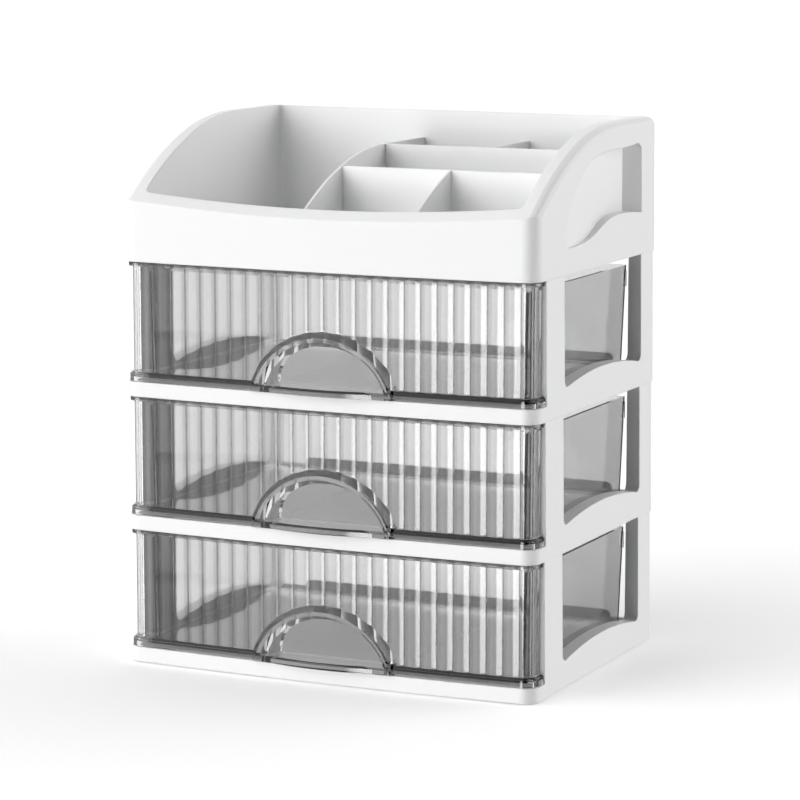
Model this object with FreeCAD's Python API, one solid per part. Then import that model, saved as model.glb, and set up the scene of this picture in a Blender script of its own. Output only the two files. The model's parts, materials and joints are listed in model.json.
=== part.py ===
import FreeCAD
import Part
import math
import os

from FreeCAD import Vector

# Three-drawer desktop organizer: three identical stacking frames, three identical
# clear fluted drawers, an open-topped tray and four pads. Millimetres, +Z up, the
# front looks along -Y. Each piece is drawn with y = 0 midway along DEPTH and z = 0 at
# its own foot; export() puts the origin on the table, below the middle of the whole.

# ---- overall outline, shared by frames, drawers and tray ----
WIDTH = 240.0            # across the foot of each moulding
DEPTH = 171.4            # from the back to the middle of the bowed front
BOW = 3.5                # how far the middle of the front stands ahead of its ends
CORNER_R = 8.5           # upright front corners
DRAFT_IN = 0.75          # each white moulding narrows by this per side towards its top
PITCH = 72.8             # height of one frame, from seam to seam

# ---- frames ----
SKIN = 2.0               # moulded wall thickness of the white pieces
SHELF_Z = 8.0            # top of the shelf plate
SIDE_WALL = 8.0          # double-skinned side wall, outside to inside
FRONT_OF_WALL = 18.2     # the side walls start this far behind the front
WINDOW_FRONT = 24.4      # post from the front of the side wall to the window
WINDOW_REAR = 18.4       # post behind the window
WINDOW_END_Z = 13.5      # sill height at the ends of the window
WINDOW_RISE = 5.4        # crown of the window's sill
WINDOW_R = 4.0           # rounding where the sill meets the posts
REAR_SILL_Z = (10.8, 14.7)   # rear sill beside the walls, and across the middle
REAR_SILL_END = 24.0     # from the side of the frame to the raised middle of the rear sill
REAR_SILL_R = 4.0
RAIL_X = 0.152 * WIDTH   # rails that carry the drawer
RAIL_W = 2.4
RAIL_H = 2.0
RAIL_ENDS = (32.7, 53.7)     # clear of the rails at the front and at the back
RIB_T = 1.6              # stiffening ribs under the plates
RIB_LIFT = 1.0           # ribs stop this far above the foot of the skirt
RIB_Y = tuple(i * 0.245 * DEPTH for i in (-1, 0, 1))
SPIGOT_H = 3.0           # stacking spigots on the posts
SPIGOT_GAP = 0.3

# ---- drawers ----
GAP = 0.3                # working clearance of a drawer above what carries it
SIDE_GAP = 1.2           # between a drawer's side and the frame
WALL = 1.8               # clear plastic
RIM_INSET = 0.7          # rim and bottom lip, in from the outline
RIM_H = 1.9
RIM_TOP_GAP = 0.5        # between a rim and the moulding above
LIP_TOP = 13.4
LIP_BEVEL = 1.4
FLUTE_INSET = 3.2        # valleys between the reeds, in from the outline
FLUTE_RISE = 0.5         # height of a reed above its valleys
FLUTE_COUNT = 24         # reeds between the two rounded corners
FLUTE_END = 1.1          # the last reed ends this far inside the corner's centre
FRONT_WALL = 2.0         # the front's inner face runs this far behind the reeds, in step
BOX_TOP = 66.4
BOX_REAR_GAP = 17.2      # rear wall at its top edge, ahead of the frame's back
BOX_DRAFT = 1.4          # the box narrows by this per side towards its floor
BOX_REAR_DRAFT = 2.9     # and its rear wall leans in by this
BOX_BEVEL = 1.4          # bevelled upright rear corners
HEEL_R = 4.0             # rounding from the floor up into the rear wall

# ---- arched finger hole of a drawer ----
ARCH_FACE = (41.0, 38.5)     # half width and height of the collar's front edge
ARCH_FOOT = (45.3, 42.0)     # where the collar meets the flutes
ARCH_EDGE = 2.1              # thickness of the collar's front edge
ARCH_BACK = (32.5, 30.0)     # hole at ARCH_DEPTH behind its front edge
ARCH_DEPTH = 14.0
ARCH_PROUD = 1.2             # collar's front edge ahead of the outline
COLLAR_TOP = (2.9, 34.9)     # rear end of the collar: behind the front edge, and height
COLLAR_LOW = (13.9, 11.6)
TONGUE_HALF = 36.0           # bulged ledge below the finger hole
TONGUE_PROUD = 4.7
TONGUE_BEVEL = 1.1

# ---- drawer stop ----
TRAVEL = 120.0
STOP_PROUD = 0.8         # upright rib on the frame's front post
NIB_PROUD = 0.9          # nib on the drawer's side
STOP_W = 1.6             # both along the slide
NIB_BACK = 3.0           # rear face of a nib ahead of the drawer's rear edge
NIB_Z = (55.0, 64.0)

# ---- tray ----
TRAY_H = 73.8
TRAY_FLAT = 56.4         # the top is level this far from the back and falls ahead
TRAY_DROP = 44.0         # fall of the parabola at the front
TRAY_SAG = 3.0           # dip of the front edge in its middle
TRAY_SAG_END = 12.0      # from the side of the tray to the end of the dip
TRAY_SIDE = 10.7
TRAY_FRONT = 7.0
TRAY_BACK = 1.8
TRAY_EDGE_R = 5.0
TRAY_EDGE_STEPS = 3      # bevels that make up the rounded side rims
TRAY_BACK_R = 3.0
TRAY_IN_R = 3.0
DIVIDER_T = 1.5
DIVIDER_Z = TRAY_H - 15.8    # level top of the dividers
DIVIDER_DROP = 40.2      # fall of their tops at the front
LONG_DIVIDER_X = -0.078 * WIDTH
SHORT_DIVIDER_X = 0.189 * WIDTH
CROSS_FRONT_Y = -0.126 * DEPTH
CROSS_FRONT_Z = DIVIDER_Z - 8.0
CROSS_REAR_Y = 0.19 * DEPTH
GRIP_DEPTH = 7.4
GRIP_FRONT = 44.7        # hand grip in the tray's side, from the front and from the back
GRIP_REAR = 18.9
GRIP_DEEP = 29.7         # rear end of its deepest part, from the back
GRIP_TOP = 12.8          # from the top of the tray to the top of the grip
GRIP_END_R = 7.0         # rounding of the grip's upper rear corner
GRIP_LOW = 14.0          # underside of the grip at its front end

# ---- pads ----
PAD_SIZE = (16.0, 10.0)
PAD_PROUD = 0.8
PAD_SEAT = 1.0
PAD_GAP = 0.3
PAD_WALL = 1.8           # rim of the boss that holds a pad
PAD_SIDE = 26.0          # centre of a pad, from the side of the frame
PAD_FRONT = 23.7         # and from the front or the back
PAD_REAR = 21.7

HALF_W = WIDTH / 2
BACK_Y = DEPTH / 2
FRONT_Y = -DEPTH / 2
FAR = 1.7 * WIDTH        # reach of cutting blocks

# Circle of the bowed front, and centre of the corner arc that is tangent to it.
BOW_R = (HALF_W ** 2 + BOW ** 2) / (2 * BOW)
BOW_CY = FRONT_Y + BOW_R
CORNER_X = HALF_W - CORNER_R
CORNER_Y = BOW_CY - math.sqrt((BOW_R - CORNER_R) ** 2 - CORNER_X ** 2)
CORNER_TURN = math.asin(CORNER_X / (BOW_R - CORNER_R))

WALL_FRONT_Y = FRONT_Y + FRONT_OF_WALL
WINDOW_Y = (WALL_FRONT_Y + WINDOW_FRONT, BACK_Y - WINDOW_REAR)
BAY_HALF = HALF_W - SIDE_WALL
BOX_HALF = BAY_HALF - SIDE_GAP
STEP_Y = WALL_FRONT_Y - 0.5          # rear face of the drawer's front part
FLOOR_LOW = SHELF_Z + RAIL_H + GAP   # underside of the drawer's floor
FLOOR_TOP = FLOOR_LOW + WALL - 0.2
BOX_REAR_Y = BACK_Y - BOX_REAR_GAP
RIM_Z = PITCH - RIM_TOP_GAP
ARCH_Y = FRONT_Y - ARCH_PROUD
TRAY_FLAT_Y = BACK_Y - TRAY_FLAT
TRAY_FALL = TRAY_DROP / (TRAY_FLAT_Y - FRONT_Y) ** 2
DIVIDER_FALL = DIVIDER_DROP / (TRAY_FLAT_Y - FRONT_Y) ** 2
GRIP_Y = (FRONT_Y + GRIP_FRONT, BACK_Y - GRIP_REAR)


def block(x, y, z):
    """Box between pairs of x, y and z."""
    return Part.makeBox(x[1] - x[0], y[1] - y[0], z[1] - z[0], Vector(x[0], y[0], z[0]))


def line(a, b):
    return Part.LineSegment(a, b).toShape()


def arc(a, middle, b):
    return Part.Arc(a, middle, b).toShape()


def on_bow(x, radius):
    """Point of the front bow's circle of the given radius, at x."""
    return Vector(x, BOW_CY - math.sqrt(radius ** 2 - x ** 2), 0)


def on_corner(turn, radius, side):
    """Point of a front corner's arc; turn 0 faces front and a quarter turn faces sideways."""
    return Vector(side * (CORNER_X + radius * math.sin(turn)), CORNER_Y - radius * math.cos(turn), 0)


def outline(inset, back_y, z):
    """Plan of the organizer, moved in by inset everywhere but at the back."""
    half = HALF_W - inset
    radius = CORNER_R - inset
    half_turn = (CORNER_TURN + math.pi / 2) / 2
    front = [on_corner(CORNER_TURN, radius, side) for side in (-1, 1)]
    edges = [line(Vector(-half, back_y, 0), Vector(-half, CORNER_Y, 0)),
             arc(Vector(-half, CORNER_Y, 0), on_corner(half_turn, radius, -1), front[0]),
             arc(front[0], on_bow(0, BOW_R - inset), front[1]),
             arc(front[1], on_corner(half_turn, radius, 1), Vector(half, CORNER_Y, 0)),
             line(Vector(half, CORNER_Y, 0), Vector(half, back_y, 0)),
             line(Vector(half, back_y, 0), Vector(-half, back_y, 0))]
    wire = Part.Wire(edges)
    wire.translate(Vector(0, 0, z))
    return wire


def plate(inset, back_y, z):
    """Upright slab of the plan between two heights."""
    return Part.Face(outline(inset, back_y, z[0])).extrude(Vector(0, 0, z[1] - z[0]))


def drafted(inset, back_y, height, low=0.0):
    """Body of the plan that narrows towards its top."""
    wires = [outline(inset + DRAFT_IN * z / height, back_y, z) for z in (low, height)]
    return Part.makeLoft(wires, True, True)


def side_profile(points, x):
    """Polygon of (y, z) points, extruded between two x."""
    wire = Part.makePolygon([Vector(x[0], y, z) for y, z in points + points[:1]])
    return Part.Face(wire).extrude(Vector(x[1] - x[0], 0, 0))


def along(shape, axis, low, high):
    """Edges parallel to an axis whose middle lies in the box from low to high."""
    found = []
    for edge in shape.Edges:
        ends = [v.Point for v in edge.Vertexes]
        if len(ends) < 2 or (ends[1] - ends[0]).cross(axis).Length > 1e-4:
            continue
        middle = (ends[0] + ends[1]) * 0.5
        if all(l - 1e-4 < m < h + 1e-4 for l, m, h in zip(low, middle, high)):
            found.append(edge)
    return found


def under_parabola(flat_y, top, fall, front_y, back_y, x):
    """Slab below a line that is level behind flat_y and falls as a parabola ahead of it."""
    reach = flat_y - front_y
    low = top - fall * reach ** 2
    curve = Part.BezierCurve()
    curve.setPoles([Vector(x[0], flat_y, top), Vector(x[0], flat_y - reach / 2, top),
                    Vector(x[0], front_y, low)])
    foot = -FAR / 8
    edges = [line(Vector(x[0], back_y, top), Vector(x[0], flat_y, top)),
             curve.toShape(),
             line(Vector(x[0], front_y, low), Vector(x[0], front_y, foot)),
             line(Vector(x[0], front_y, foot), Vector(x[0], back_y, foot)),
             line(Vector(x[0], back_y, foot), Vector(x[0], back_y, top))]
    return Part.Face(Part.Wire(edges)).extrude(Vector(x[1] - x[0], 0, 0))


def both_sides(shape):
    """The shape with its mirror image across the middle."""
    return [shape, shape.mirror(Vector(0, 0, 0), Vector(1, 0, 0))]


# ---------------------------------------------------------------- underside of a moulding

def underside(inner_half):
    """Hollow below a plate, between the inner skins of the side walls."""
    hollow = plate(SKIN, BACK_Y - SKIN, (-1, SHELF_Z - SKIN))
    hollow = hollow.common(block((-inner_half, inner_half), (-FAR, FAR), (-FAR, FAR)))
    ribs = [block((-FAR, FAR), (y - RIB_T / 2, y + RIB_T / 2), (RIB_LIFT, SHELF_Z)) for y in RIB_Y]
    ribs += [block((x - RIB_T / 2, x + RIB_T / 2), (-FAR, FAR), (RIB_LIFT, SHELF_Z))
             for x in (-RAIL_X, RAIL_X)]
    return hollow.cut(ribs + pad_blocks(PAD_GAP + PAD_WALL, (0, SHELF_Z)))


def pad_centres():
    side = HALF_W - PAD_SIDE
    return [(x, y) for y in (FRONT_Y + PAD_FRONT, BACK_Y - PAD_REAR) for x in (-side, side)]


def pad_blocks(grow, z):
    """Blocks over the four pads' places, larger than a pad by grow all round."""
    half = [size / 2 + grow for size in PAD_SIZE]
    return [block((x - half[0], x + half[0]), (y - half[1], y + half[1]), z) for x, y in pad_centres()]


# ---------------------------------------------------------------- stacking frame

def window(grow):
    """Notch in both side walls with a crowned sill, open at the seam above."""
    front, rear = WINDOW_Y[0] - grow, WINDOW_Y[1] + grow
    end_z = WINDOW_END_Z - grow
    x = -HALF_W - 5
    middle = (front + rear) / 2
    low = [Vector(x, front, end_z), Vector(x, middle, end_z + WINDOW_RISE), Vector(x, rear, end_z)]
    high = [Vector(x, y, PITCH + 5) for y in (front, rear)]
    edges = [arc(*low), line(low[2], high[1]), line(high[1], high[0]), line(high[0], low[0])]
    notch = Part.Face(Part.Wire(edges)).extrude(Vector(-2 * x, 0, 0))
    corners = along(notch, Vector(1, 0, 0), (-1, front, end_z), (1, rear, end_z))
    return notch.makeFillet(WINDOW_R, corners)


def rear_opening():
    """Open back of a frame above its stepped sill."""
    y = BACK_Y - SKIN - 1
    low, high = REAR_SILL_Z
    half = HALF_W - REAR_SILL_END
    points = [(-BAY_HALF, PITCH + 5), (-BAY_HALF, low), (-half, low), (-half, high),
              (half, high), (half, low), (BAY_HALF, low), (BAY_HALF, PITCH + 5)]
    wire = Part.makePolygon([Vector(px, y, pz) for px, pz in points + points[:1]])
    opening = Part.Face(wire).extrude(Vector(0, SKIN + 5, 0))
    ends = along(opening, Vector(0, 1, 0), (-half, y, high), (half, FAR, high))
    return opening.makeFillet(REAR_SILL_R - 0.5, ends)


def wall_hollow():
    """Space inside one double-skinned side wall, open below."""
    core = drafted(SKIN, BACK_Y - SKIN, PITCH, low=-1.0)
    inner = BAY_HALF + SKIN
    upright = block((inner, FAR), (WALL_FRONT_Y + SKIN, FAR), (-1, PITCH - SKIN))
    ahead = block((inner, FAR), (-FAR, WALL_FRONT_Y + SKIN + 1), (-1, SHELF_Z - SKIN))
    return core.common(upright.fuse(ahead)).cut(window(SKIN))


def spigots():
    """Blocks on the posts that enter the hollow walls of the moulding above."""
    x = (BAY_HALF + SKIN + SPIGOT_GAP, HALF_W - SKIN - SPIGOT_GAP - 0.1)
    spans = [(WALL_FRONT_Y + SKIN + SPIGOT_GAP, WINDOW_Y[0] - SKIN),
             (WINDOW_Y[1] + SKIN, BACK_Y - SKIN - SPIGOT_GAP)]
    blocks = []
    for span in spans:
        spigot = block(x, span, (PITCH - SKIN, PITCH + SPIGOT_H))
        rim = [edge for edge in spigot.Edges if edge.BoundBox.ZMin > PITCH]
        blocks += both_sides(spigot.makeChamfer(0.6, rim))
    return blocks


def nibs():
    """Nibs on the drawer's sides, near its rear edge."""
    rear = BOX_REAR_Y - NIB_BACK
    return both_sides(block((BOX_HALF - WALL / 2, BOX_HALF + NIB_PROUD), (rear - STOP_W, rear), NIB_Z))


def stops():
    """Ribs on the front posts that hold the nibs back at the end of the travel."""
    rear = BOX_REAR_Y - NIB_BACK - STOP_W - TRAVEL - GAP
    return both_sides(block((BAY_HALF - STOP_PROUD, BAY_HALF + SKIN / 2), (rear - STOP_W, rear),
                            (SHELF_Z - 1, NIB_Z[1] + 1)))


def frame():
    body = drafted(0, BACK_Y, PITCH)
    bay = [block((-BAY_HALF, BAY_HALF), (-FAR, BACK_Y - SKIN), (SHELF_Z, FAR)),
           block((-FAR, FAR), (-FAR, WALL_FRONT_Y), (SHELF_Z, FAR)),
           rear_opening(), window(0)]
    body = body.cut(bay + both_sides(wall_hollow()) + [underside(BAY_HALF)])
    rail_y = (FRONT_Y + RAIL_ENDS[0], BACK_Y - RAIL_ENDS[1])
    rails = [block((x - RAIL_W / 2, x + RAIL_W / 2), rail_y, (SHELF_Z - 1, SHELF_Z + RAIL_H))
             for x in (-RAIL_X, RAIL_X)]
    seats = pad_blocks(PAD_GAP, (-1, PAD_SEAT))
    return body.fuse(rails + spigots() + stops()).cut(seats).removeSplitter()


# ---------------------------------------------------------------- drawer

def reed(points):
    """Convex arc over two valley points; the third is its crest."""
    return arc(points[0], points[2], points[1])


def fluted_plan(behind=0.0):
    """Plan of the drawer's front part: reeds across the bow and round both corners."""
    inset = FLUTE_INSET + behind
    valley_r = BOW_R - inset
    crest_r = valley_r + FLUTE_RISE
    start = FLUTE_END - CORNER_X
    pitch = -2 * start / FLUTE_COUNT
    edges = []
    for i in range(FLUTE_COUNT):
        x = start + i * pitch
        valleys = (on_bow(x, valley_r), on_bow(x + pitch, valley_r))
        edges.append(reed(valleys + (on_bow(x + pitch / 2, crest_r),)))
    radius = CORNER_R - inset
    rise = FLUTE_RISE * 0.55
    side_x = HALF_W - inset
    for side in (-1, 1):
        valleys = [on_bow(-side * start, valley_r), on_corner(math.radians(48), radius, side),
                   Vector(side * side_x, CORNER_Y, 0), Vector(side * side_x, STEP_Y, 0)]
        crests = [on_corner(math.radians(22), radius + rise, side),
                  on_corner(math.radians(69), radius + rise, side),
                  Vector(side * (side_x + rise), (CORNER_Y + STEP_Y) / 2, 0)]
        edges += [reed((valleys[i], valleys[i + 1], crests[i])) for i in range(3)]
    edges.append(line(Vector(-side_x, STEP_Y, 0), Vector(side_x, STEP_Y, 0)))
    return Part.Face(Part.Wire(Part.__sortEdges__(edges)))


def fluted(behind, z):
    """Fluted slab of the front part between two heights."""
    slab = fluted_plan(behind).extrude(Vector(0, 0, z[1] - z[0]))
    slab.translate(Vector(0, 0, z[0]))
    return slab


def front_only(shape, rear_y):
    return shape.common(block((-FAR, FAR), (-FAR, rear_y), (-FAR, FAR)))


def drawer_box(shrink, low, top):
    """Drafted box with a swept heel; shrink moves its walls in."""
    wires = []
    for z in (FLOOR_LOW, top):
        rise = (z - FLOOR_LOW) / (BOX_TOP - FLOOR_LOW)
        half = BOX_HALF - shrink - BOX_DRAFT * (1 - rise)
        rear = BOX_REAR_Y - shrink - BOX_REAR_DRAFT * (1 - rise)
        bevel = BOX_BEVEL - shrink * (2 - math.sqrt(2))
        right = [(half, STEP_Y - 4), (half, rear - bevel), (half - bevel, rear)]
        ring = right + [(-x, y) for x, y in reversed(right)]
        wires.append(Part.makePolygon([Vector(x, y, z) for x, y in ring + ring[:1]]))
    body = Part.makeLoft(wires, True, True)
    rear_low = BOX_REAR_Y - shrink - BOX_REAR_DRAFT
    lean = BOX_REAR_DRAFT / (BOX_TOP - FLOOR_LOW)
    points = [(-FAR, low), (rear_low + lean * (low - FLOOR_LOW), low),
              (rear_low + lean * (FAR - FLOOR_LOW), FAR), (-FAR, FAR)]
    sweep = side_profile(points, (-FAR, FAR))
    heel = along(sweep, Vector(1, 0, 0), (-1, 0, low), (1, FAR, low))
    return body.common(sweep.makeFillet(HEEL_R - shrink, heel))


def half_arch(sizes, y):
    """Elliptic ring in an upright plane, centred on the foot of the drawer."""
    ring = Part.Wire(Part.Ellipse(Vector(0, 0, 0), sizes[0], sizes[1]).toShape())
    ring.rotate(Vector(0, 0, 0), Vector(1, 0, 0), 90)
    ring.translate(Vector(0, y, 0))
    return ring


def cone(near, near_y, far, far_y):
    return Part.makeLoft([half_arch(near, near_y), half_arch(far, far_y)], True, True)


def collar_and_hole():
    """Raised collar of the finger hole, and the tapering hole through it."""
    edge_in = tuple(size - ARCH_EDGE for size in ARCH_FACE)
    slope = [(edge_in[i] - ARCH_BACK[i]) / ARCH_DEPTH for i in range(2)]
    ahead = tuple(edge_in[i] + slope[i] * 2 for i in range(2))
    hole = cone(ahead, ARCH_Y - 2, ARCH_BACK, ARCH_Y + ARCH_DEPTH)
    behind = tuple(size + WALL for size in ARCH_BACK)
    flare = cone(ARCH_FACE, ARCH_Y, ARCH_FOOT, FRONT_Y + FLUTE_INSET + 0.6)
    sleeve = cone(ARCH_FACE, ARCH_Y, behind, ARCH_Y + ARCH_DEPTH)
    tops = [(ARCH_Y + COLLAR_TOP[0], COLLAR_TOP[1]), (ARCH_Y + COLLAR_LOW[0], COLLAR_LOW[1])]
    lean = (tops[1][0] - tops[0][0]) / (tops[0][1] - tops[1][1])
    line_y = [tops[0][0] + lean * (tops[0][1] - z) for z in (0.0, 60.0)]
    sleeve = sleeve.common(side_profile([(-FAR, 0.0), (line_y[0], 0.0), (line_y[1], 60.0), (-FAR, 60.0)],
                                        (-FAR, FAR)))
    above = block((-FAR, FAR), (-FAR, FAR), (SHELF_Z + GAP, FAR))
    inside = block((-FAR, FAR), (-FAR, FAR), (FLOOR_TOP, FAR))
    return [flare.common(above), sleeve.common(above)], hole.common(inside)


def tongue():
    """Crescent ledge that bulges out below the finger hole."""
    end_y = FRONT_Y + 0.4
    ends = [Vector(-TONGUE_HALF, end_y, 0), Vector(TONGUE_HALF, end_y, 0)]
    inner = [Vector(x, FRONT_Y + FLUTE_INSET + 2 * FRONT_WALL, 0) for x in (TONGUE_HALF, -TONGUE_HALF)]
    edges = [arc(ends[0], Vector(0, FRONT_Y - TONGUE_PROUD, 0), ends[1]), line(ends[1], inner[0]),
             line(inner[0], inner[1]), line(inner[1], ends[0])]
    ledge = Part.Face(Part.Wire(edges)).extrude(Vector(0, 0, FLOOR_TOP - SHELF_Z - GAP))
    ledge.translate(Vector(0, 0, SHELF_Z + GAP))
    nose = [edge for edge in ledge.Edges
            if edge.BoundBox.ZMin > FLOOR_TOP - 0.1 and edge.BoundBox.YMin < FRONT_Y - 1]
    return ledge.makeChamfer(TONGUE_BEVEL, nose)


def lip():
    """Bevelled bottom edge of the drawer's front."""
    band = front_only(plate(RIM_INSET, BACK_Y, (SHELF_Z + GAP, LIP_TOP)), STEP_Y)
    crown = [edge for edge in band.Edges
             if edge.BoundBox.ZMin > LIP_TOP - 0.1 and edge.BoundBox.YMin < STEP_Y - 0.5]
    return band.makeChamfer(LIP_BEVEL, crown)


def drawer():
    rim = front_only(plate(RIM_INSET, BACK_Y, (RIM_Z - RIM_H, RIM_Z)), STEP_Y)
    collar, hole = collar_and_hole()
    body = fluted(0.0, (FLOOR_LOW, RIM_Z)).fuse([rim, lip(), drawer_box(0, FLOOR_LOW, BOX_TOP)])
    room = front_only(fluted(FRONT_WALL, (FLOOR_TOP, RIM_Z + 1)), STEP_Y - WALL)
    foot_room = front_only(plate(RIM_INSET + 2 * WALL, BACK_Y, (0, FLOOR_LOW)), FAR)
    body = body.cut([room, drawer_box(WALL, FLOOR_TOP, BOX_TOP + 1), foot_room])
    body = body.fuse(collar + [tongue()]).cut(hole)
    return body.fuse(nibs()).removeSplitter()


# ---------------------------------------------------------------- tray

def grip():
    """Hand recess in the right side: an S-shaped sill, and a floor that ramps out forwards."""
    front, rear = GRIP_Y
    long = rear - front
    top = TRAY_H - GRIP_TOP
    high = top - GRIP_LOW
    outer = HALF_W + 5
    deep = HALF_W - GRIP_DEPTH - 0.5

    def at(share, rise):
        return Vector(0, front + share * long, GRIP_LOW + rise * high)

    upper = Part.BSplineCurve()
    upper.interpolate([at(0, 0.23), at(0.12, 0.62), at(0.3, 0.89), at(0.57, 0.98),
                       Vector(0, rear - GRIP_END_R, top)])
    lower = Part.BSplineCurve()
    lower.interpolate([at(1, 0.19), at(0.77, 0.23), at(0.54, 0.2), at(0.32, 0.05), at(0.16, 0), at(0, 0)])
    cut = GRIP_END_R * (1 - math.sqrt(0.5))
    edges = [upper.toShape(),
             arc(Vector(0, rear - GRIP_END_R, top), Vector(0, rear - cut, top - cut),
                 Vector(0, rear, top - GRIP_END_R)),
             line(Vector(0, rear, top - GRIP_END_R), at(1, 0.19)), lower.toShape(),
             line(at(0, 0), at(0, 0.23))]
    shape = Part.Face(Part.Wire(edges)).extrude(Vector(outer, 0, 0))
    plan = Part.makePolygon([Vector(HALF_W - 0.3, front, 0), Vector(deep, BACK_Y - GRIP_DEEP, 0),
                             Vector(HALF_W, rear, 0), Vector(outer, rear, 0), Vector(outer, front, 0),
                             Vector(HALF_W - 0.3, front, 0)])
    return shape.common(Part.Face(plan).extrude(Vector(0, 0, TRAY_H)))


def tray_body():
    """Outer form: bowed front, falling sides and rounded side rims."""
    limit = block((-FAR, FAR), (-FAR, BACK_Y), (0, TRAY_H))
    back = along(limit, Vector(1, 0, 0), (-1, BACK_Y, TRAY_H), (1, BACK_Y, TRAY_H))
    body = drafted(0, BACK_Y + 1, TRAY_H).common(limit.makeFillet(TRAY_BACK_R, back))
    body = body.common(under_parabola(TRAY_FLAT_Y, TRAY_H, TRAY_FALL, -FAR / 4, FAR, (-FAR, FAR)))
    return body.cut([side for shave in rim_shaves() for side in both_sides(shave)])


def rim_shaves():
    """Cutters that round the right rim along its fall, in steps of equal turn."""
    shaves = []
    start = HALF_W - DRAFT_IN - TRAY_EDGE_R
    step = math.pi / 2 / (TRAY_EDGE_STEPS + 1)
    for i in range(1, TRAY_EDGE_STEPS + 1):
        turn = i * step
        x = start + TRAY_EDGE_R * math.tan(turn / 2)
        reach = Vector(1, 0, -math.tan(turn)) * (2 * TRAY_EDGE_R)
        above = block((x - 1, x), (-FAR / 4, FAR), (-FAR / 8, 2 * TRAY_H)).cut(
            under_parabola(TRAY_FLAT_Y, TRAY_H, TRAY_FALL, -FAR / 4, FAR, (x - 2, x + 1)))
        face = [f for f in above.Faces if f.BoundBox.XLength < 0.01 and f.BoundBox.XMin > x - 0.5][0]
        shaves.append(face.extrude(reach))
    return shaves


def front_dip():
    """Shallow arc taken off the front rim, along the slope of the sides."""
    y = FRONT_Y + BOW + TRAY_FRONT + 1
    z = TRAY_H - TRAY_FALL * (TRAY_FLAT_Y - y) ** 2
    slope = 2 * TRAY_FALL * (TRAY_FLAT_Y - y)
    half = HALF_W - TRAY_SAG_END
    ends = [Vector(side * half, y, z) for side in (-1, 1)]
    bow = arc(ends[0], Vector(0, y, z - TRAY_SAG), ends[1])
    top = [Vector(side * half, y, z + 20) for side in (1, -1)]
    face = Part.Face(Part.Wire([bow, line(ends[1], top[0]), line(top[0], top[1]), line(top[1], ends[0])]))
    reach = BOW + TRAY_FRONT + 6
    return face.extrude(Vector(0, -reach, -reach * slope))


def tray_room():
    """Inside of the tray."""
    room = plate(TRAY_FRONT, BACK_Y - TRAY_BACK, (SHELF_Z, TRAY_H + 5))
    half = HALF_W - TRAY_SIDE
    room = room.common(block((-half, half), (-FAR, FAR), (0, FAR)))
    uprights = [edge for edge in along(room, Vector(0, 0, 1), (-half, -FAR, 0), (half, FAR, FAR))]
    return room.makeFillet(TRAY_IN_R, uprights)


def tray_side_hollow():
    """Space between the skins of one side of the tray, round the grip and open below."""
    core = drafted(SKIN, BACK_Y - SKIN, TRAY_H, low=-1.0)
    inner = HALF_W - TRAY_SIDE + SKIN
    band = block((inner, FAR), (FRONT_Y + TRAY_FRONT - SKIN, FAR), (-1, GRIP_LOW - SKIN))
    ahead = block((inner, FAR), (FRONT_Y + TRAY_FRONT - SKIN, GRIP_Y[0] - SKIN), (-1, FAR))
    behind = block((inner, FAR), (GRIP_Y[1] + SKIN, FAR), (-1, TRAY_H - 7))
    under = under_parabola(TRAY_FLAT_Y, TRAY_H - 7, TRAY_FALL, -FAR / 4, FAR, (-FAR, FAR))
    return core.common(band.fuse([ahead, behind])).common(under)


def tray_front_hollow():
    """Space between the skins of the tray's front, open below."""
    top = TRAY_H - TRAY_DROP - TRAY_SAG - 2 * SKIN
    outer = plate(SKIN, BACK_Y, (-1, top))
    band = outer.cut(plate(TRAY_FRONT - SKIN, BACK_Y, (-2, FAR)))
    half = HALF_W - TRAY_SIDE
    return band.common(block((-half, half), (-FAR, 0), (-2, FAR)))


def dividers():
    """Thin walls that part the tray; the two that reach the front fall with the sides."""
    half_t = DIVIDER_T / 2
    front, back = FRONT_Y + TRAY_FRONT - 1, BACK_Y - TRAY_BACK / 2
    right = HALF_W - TRAY_SIDE + 1

    def curved(x, rear):
        slab = under_parabola(TRAY_FLAT_Y, DIVIDER_Z, DIVIDER_FALL, front, back, (x - half_t, x + half_t))
        return slab.common(block((-FAR, FAR), (-FAR, rear), (SHELF_Z - 1, FAR)))

    across = (LONG_DIVIDER_X, right)
    return [curved(LONG_DIVIDER_X, back), curved(SHORT_DIVIDER_X, CROSS_FRONT_Y),
            block(across, (CROSS_FRONT_Y - half_t, CROSS_FRONT_Y + half_t), (SHELF_Z - 1, CROSS_FRONT_Z)),
            block(across, (CROSS_REAR_Y - half_t, CROSS_REAR_Y + half_t), (SHELF_Z - 1, DIVIDER_Z)),
            block((SHORT_DIVIDER_X - half_t, SHORT_DIVIDER_X + half_t), (CROSS_REAR_Y, back),
                  (SHELF_Z - 1, DIVIDER_Z))]


def tray():
    body = tray_body().cut(front_dip())
    body = body.cut([tray_room(), underside(HALF_W - TRAY_SIDE), tray_front_hollow()]
                    + both_sides(tray_side_hollow()) + both_sides(grip()))
    return body.fuse(dividers()).removeSplitter()


# ---------------------------------------------------------------- pads and assembly

def pads():
    """Pads with a bevelled foot, seated up to the roof of their bosses."""
    shapes = []
    for shape in pad_blocks(0, (0, PAD_PROUD + PAD_SEAT)):
        foot = [edge for edge in shape.Edges if edge.BoundBox.ZMax < 0.01]
        shapes.append(shape.makeChamfer(0.4, foot))
    return shapes


def export(shape, name, lift=0.0):
    placed = shape.copy()
    placed.translate(Vector(0, TONGUE_PROUD / 2, lift))
    placed.exportStep("parts/%s.step" % name)


os.makedirs("parts", exist_ok=True)

frame_shape = frame()
drawer_shape = drawer()
for level, name in enumerate(("bottom", "middle", "top")):
    lift = PAD_PROUD + level * PITCH
    export(frame_shape, "frame_" + name, lift)
    export(drawer_shape, "drawer_" + name, lift)

export(tray(), "top_tray", PAD_PROUD + 3 * PITCH)

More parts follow.
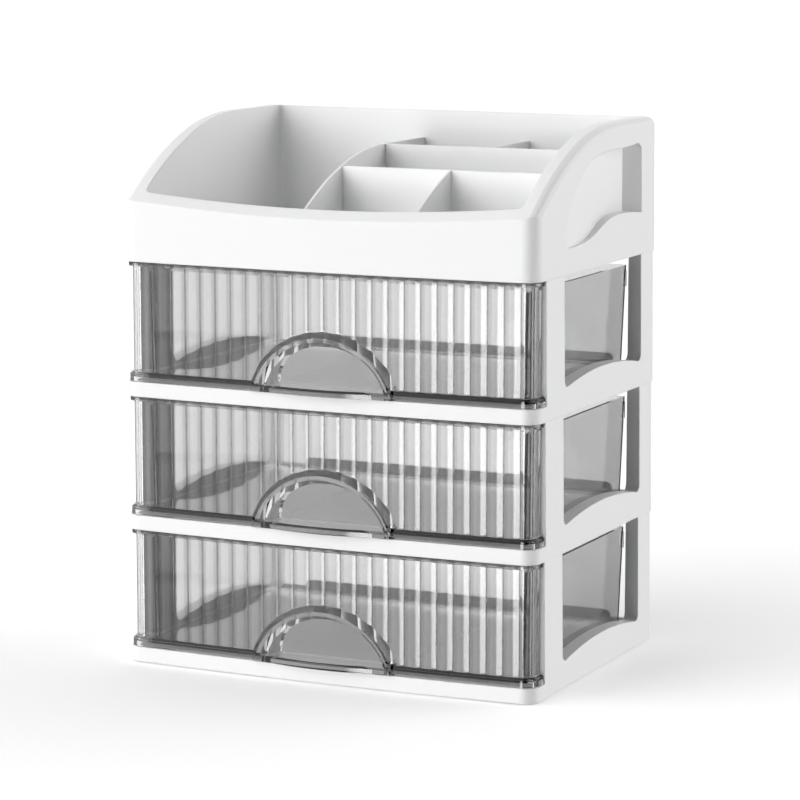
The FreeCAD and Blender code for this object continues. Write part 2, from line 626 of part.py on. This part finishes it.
for name, shape in zip(("front_left", "front_right", "rear_left", "rear_right"), pads()):
    export(shape, "pad_" + name)
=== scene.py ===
import json
import math

import bpy
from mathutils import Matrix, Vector

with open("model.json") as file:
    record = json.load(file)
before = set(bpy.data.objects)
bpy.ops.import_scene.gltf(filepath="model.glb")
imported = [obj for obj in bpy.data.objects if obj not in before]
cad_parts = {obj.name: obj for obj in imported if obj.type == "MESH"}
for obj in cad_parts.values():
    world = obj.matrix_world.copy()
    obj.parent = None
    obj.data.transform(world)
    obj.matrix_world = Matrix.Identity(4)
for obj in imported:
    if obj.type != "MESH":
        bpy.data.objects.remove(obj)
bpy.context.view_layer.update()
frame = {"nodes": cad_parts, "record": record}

# ---- camera ----
LENS_MM, SENSOR_MM = 147.92, 36.0
CAMERA_AT = (0.75280, -1.60136, 0.41958)
CAMERA_PITCH, CAMERA_YAW = 8.961, 24.98   # degrees, below the horizon and from the front

# ---- looks: colours, tints of the clear plastic, and the shade painted on it ----
WHITE = (0.86, 0.862, 0.865)
RUBBER = (0.6, 0.6, 0.6)
SMOKE = (0.92, 0.92, 0.922)
# painted shade: the dark colour laid on the clear plastic by position, standing in for refraction,
# reflection and shade, not for thicker plastic
PAINTED_SHADE = (0.10, 0.10, 0.105)
SHADE_IN_GROOVE = 0.5                      # how much painted shade lies in a groove, on the flanks of the reeds beside it, along the rim and on the walls behind the front
SHADE_ON_FLANK = 0.22                      # on the flanks of the reeds beside it,
SHADE_ON_RIM = 0.8                         # along the rim
SHADE_ON_WALLS = 0.30                        # and on the walls behind the front
SMOKE_INSIDE = (0.50, 0.50, 0.51)       # what the plastic lets through, with the density
SMOKE_DENSITY = 20.0
WHITE_IOR, SMOKE_IOR = 1.5, 1.49
EDGE_R = 0.0006                         # softness of the white mouldings' edges
GRAIN_DEPTH = 0.0001                    # most that the grain may rise, in metres
GRAIN_DRIFT = 0.04                      # scale of its slow change, to its own

# ---- where the shade painted on a drawer changes, in metres ----
REED_PITCH = 0.0092
REEDS_END = 0.1104                      # from the middle of the front to its last grooves
GROOVE_FROM, FLANK_FROM = 0.455, 0.25   # from a reed's crest, in pitches
FRONT_ENDS = -0.066                     # the fluted front lies ahead of this
STACK_FOOT = 0.0008                     # the frames stand on the pads, this high
STACK_STEP = 0.0728                     # from one drawer to the one above
LIP_TOP, RIM_LINE = 0.0134, 0.0710      # heights in each step
ARCH_HALF_W, ARCH_H = 0.0453, 0.0420    # foot of the arched collar, which has no reeds

# ---- studio light: soft lobes of the sky (towards, width, strength), the last a bright card ----
LOBES = [((-0.58, -0.70, 0.42), 0.45, 1.40),
         ((-0.60, -0.75, 0.25), 0.20, 1.20),
         ((-0.55, -0.30, 0.78), 0.45, 0.78),
         ((-0.45, -0.60, -0.65), 0.30, 0.80),
         ((0.75, 0.60, 0.30), 0.20, 3.56),
         ((0.69, 0.32, -0.64), 0.30, 1.64),
         ((-0.30, 0.93, 0.22), 0.45, 1.25),
         ((-0.03, -1.0, -0.16), 0.022, 12.0)]
FLOOR_SIZE, FLOOR_BASE, FLOOR_GLOW = 60, 0.97, 0.21
BACKDROP_R, BACKDROP_H, BACKDROP_GLOW = 15.0, 20.0, 1.0
BACKDROP_SINK = 0.01                    # its foot goes this far through the floor


def material(name):
    """New node material and its principled shader."""
    made = bpy.data.materials.new(name)
    made.use_nodes = True
    return made, made.node_tree.nodes["Principled BSDF"]


def node(mat, kind, **sockets):
    """Adds a node and sets its inputs by name."""
    added = mat.node_tree.nodes.new(kind)
    for key, value in sockets.items():
        added.inputs[key.replace("_", " ")].default_value = value
    return added


def grain(mat, shader, scale, height, rough):
    """Fine moulded grain: roughness that drifts between two values, and a shallow bump."""
    links = mat.node_tree.links
    place = node(mat, "ShaderNodeTexCoord")
    wide = node(mat, "ShaderNodeTexNoise", Scale=scale * GRAIN_DRIFT, Detail=3.0)
    fine = node(mat, "ShaderNodeTexNoise", Scale=scale, Detail=2.0)
    for noise in (wide, fine):
        links.new(place.outputs["Object"], noise.inputs["Vector"])
    drift = node(mat, "ShaderNodeMapRange", To_Min=rough[0], To_Max=rough[1])
    links.new(wide.outputs["Fac"], drift.inputs["Value"])
    links.new(drift.outputs["Result"], shader.inputs["Roughness"])
    bump = node(mat, "ShaderNodeBump", Strength=height, Distance=GRAIN_DEPTH)
    links.new(fine.outputs["Fac"], bump.inputs["Height"])
    links.new(bump.outputs["Normal"], shader.inputs["Normal"])
    return bump


def white_plastic():
    mat, shader = material("satin_white_plastic")
    shader.inputs["Base Color"].default_value = (*WHITE, 1)
    shader.inputs["IOR"].default_value = WHITE_IOR
    bump = grain(mat, shader, scale=1800, height=0.08, rough=(0.46, 0.54))
    edges = node(mat, "ShaderNodeBevel", Radius=EDGE_R)
    mat.node_tree.links.new(edges.outputs["Normal"], bump.inputs["Normal"])
    return mat


def smoke_tint_and_shade(mat, shader):
    """Smoke colour with painted shade laid on by position: dark lines between the reeds, darker
    flanks, a dark line along the rim and grey on the walls behind the front, standing in for
    refraction, reflection and shade.
    """
    links = mat.node_tree.links

    def calc(operation, *values):
        made = node(mat, "ShaderNodeMath")
        made.operation = operation
        for socket, value in zip(made.inputs, values):
            if isinstance(value, (int, float)):
                socket.default_value = value
            else:
                links.new(value, socket)
        return made.outputs["Value"]

    def product(first, *others):
        for other in others:
            first = calc("MULTIPLY", first, other)
        return first

    place, split = node(mat, "ShaderNodeTexCoord"), node(mat, "ShaderNodeSeparateXYZ")
    links.new(place.outputs["Object"], split.inputs["Vector"])
    x, y, z = split.outputs["X"], split.outputs["Y"], split.outputs["Z"]
    level = calc("MODULO", calc("SUBTRACT", z, STACK_FOOT), STACK_STEP)
    reed = calc("FRACT", calc("DIVIDE", calc("ADD", x, REEDS_END), REED_PITCH))
    from_crest = calc("ABSOLUTE", calc("SUBTRACT", reed, 0.5))
    # painted shade: dark lines in the grooves and darker bands on the reeds' flanks, set by position
    groove = product(calc("GREATER_THAN", from_crest, GROOVE_FROM), SHADE_IN_GROOVE)
    flank = product(calc("GREATER_THAN", from_crest, FLANK_FROM), SHADE_ON_FLANK)
    across, up = calc("DIVIDE", x, ARCH_HALF_W), calc("DIVIDE", level, ARCH_H)
    off_arch = calc("GREATER_THAN", calc("ADD", product(across, across), product(up, up)), 1.0)
    between_ends = calc("LESS_THAN", calc("ABSOLUTE", x), REEDS_END)
    over_lip = calc("GREATER_THAN", level, LIP_TOP)
    reeds = product(calc("ADD", groove, flank), between_ends, over_lip, off_arch)
    # painted shade: a dark line along the top of each drawer, set by height
    rim = product(calc("GREATER_THAN", level, RIM_LINE), SHADE_ON_RIM)
    front = calc("LESS_THAN", y, FRONT_ENDS)
    # painted shade: grey on the side and back walls behind the fluted front, above the lip
    box = product(calc("SUBTRACT", 1.0, front), over_lip, SHADE_ON_WALLS)
    shade_share = calc("ADD", product(calc("ADD", reeds, rim), front), box)

    # mixes the smoke colour with the painted shade, by the amounts worked out above
    tint_and_shade = node(mat, "ShaderNodeMix")
    tint_and_shade.data_type = "RGBA"
    tint_and_shade.inputs["A"].default_value = (*SMOKE, 1)
    tint_and_shade.inputs["B"].default_value = (*PAINTED_SHADE, 1)
    links.new(shade_share, tint_and_shade.inputs["Factor"])
    links.new(tint_and_shade.outputs["Result"], shader.inputs["Base Color"])


def smoke_plastic():
    mat, shader = material("clear_smoke_plastic")
    shader.inputs["IOR"].default_value = SMOKE_IOR
    shader.inputs["Transmission Weight"].default_value = 1.0
    grain(mat, shader, scale=900, height=0.02, rough=(0.01, 0.04))
    smoke_tint_and_shade(mat, shader)
    inside = node(mat, "ShaderNodeVolumeAbsorption", Color=(*SMOKE_INSIDE, 1), Density=SMOKE_DENSITY)
    output = mat.node_tree.nodes["Material Output"]
    mat.node_tree.links.new(inside.outputs["Volume"], output.inputs["Volume"])
    return mat


def rubber():
    mat, shader = material("pad_rubber")
    shader.inputs["Base Color"].default_value = (*RUBBER, 1)
    grain(mat, shader, scale=2500, height=0.3, rough=(0.7, 0.85))
    return mat


looks = {"white_plastic": white_plastic(), "smoke_plastic": smoke_plastic(), "pad_rubber": rubber()}
for part in frame["record"]["subparts"]:
    mesh = frame["nodes"][part["node"]].data
    mesh.materials.clear()
    mesh.materials.append(looks[part["material_slot"]])


def studio_surface(surface, name, base, glow):
    """Pale surface round the part. It lets the studio's light through, as a light table does."""
    surface.name = name
    mat, shader = material("pale_" + name)
    shader.inputs["Base Color"].default_value = (base, base, base, 1)
    shader.inputs["Roughness"].default_value = 1.0
    shader.inputs["Specular IOR Level"].default_value = 0.0
    shader.inputs["Emission Color"].default_value = (1, 1, 1, 1)
    shader.inputs["Emission Strength"].default_value = glow
    surface.data.materials.append(mat)
    surface.visible_glossy = False
    surface.visible_diffuse = False
    surface.visible_shadow = False


def studio_sky():
    """World whose brightness depends on the direction: the sum of the soft lobes."""
    world = bpy.data.worlds.new("studio")
    world.use_nodes = True
    nodes, links = world.node_tree.nodes, world.node_tree.links
    towards = nodes.new("ShaderNodeTexCoord").outputs["Generated"]
    total = None
    for direction, width, strength in LOBES:
        dot = nodes.new("ShaderNodeVectorMath")
        dot.operation = "DOT_PRODUCT"
        dot.inputs[1].default_value = Vector(direction).normalized()
        links.new(towards, dot.inputs[0])
        lobe = nodes.new("ShaderNodeMapRange")
        lobe.interpolation_type = "SMOOTHSTEP"
        lobe.inputs["From Min"].default_value = 1 - width
        lobe.inputs["To Max"].default_value = strength
        links.new(dot.outputs["Value"], lobe.inputs["Value"])
        if total is None:
            total = lobe.outputs["Result"]
            continue
        add = nodes.new("ShaderNodeMath")   # adds, unless told otherwise
        links.new(lobe.outputs["Result"], add.inputs[0])
        links.new(total, add.inputs[1])
        total = add.outputs["Value"]
    links.new(total, nodes["Background"].inputs["Strength"])
    nodes["Background"].inputs["Color"].default_value = (1, 1, 1, 1)
    return world


# ---- floor, backdrop, light and camera ----
bpy.ops.mesh.primitive_plane_add(size=FLOOR_SIZE, location=(0, 0, 0))
studio_surface(bpy.context.object, "floor", FLOOR_BASE, FLOOR_GLOW)
bpy.ops.mesh.primitive_cylinder_add(vertices=96, radius=BACKDROP_R, depth=BACKDROP_H,
                                    end_fill_type="NOTHING",
                                    location=(0, 0, BACKDROP_H / 2 - BACKDROP_SINK))
studio_surface(bpy.context.object, "backdrop", 0.0, BACKDROP_GLOW)

scene = bpy.context.scene
scene.world = studio_sky()
scene.view_settings.view_transform = "Standard"

camera_data = bpy.data.cameras.new("camera")
camera_data.lens = LENS_MM
camera_data.sensor_width = SENSOR_MM
camera = bpy.data.objects.new("camera", camera_data)
camera.location = CAMERA_AT
camera.rotation_euler = (math.radians(90 - CAMERA_PITCH), 0, math.radians(CAMERA_YAW))
scene.collection.objects.link(camera)
scene.camera = camera
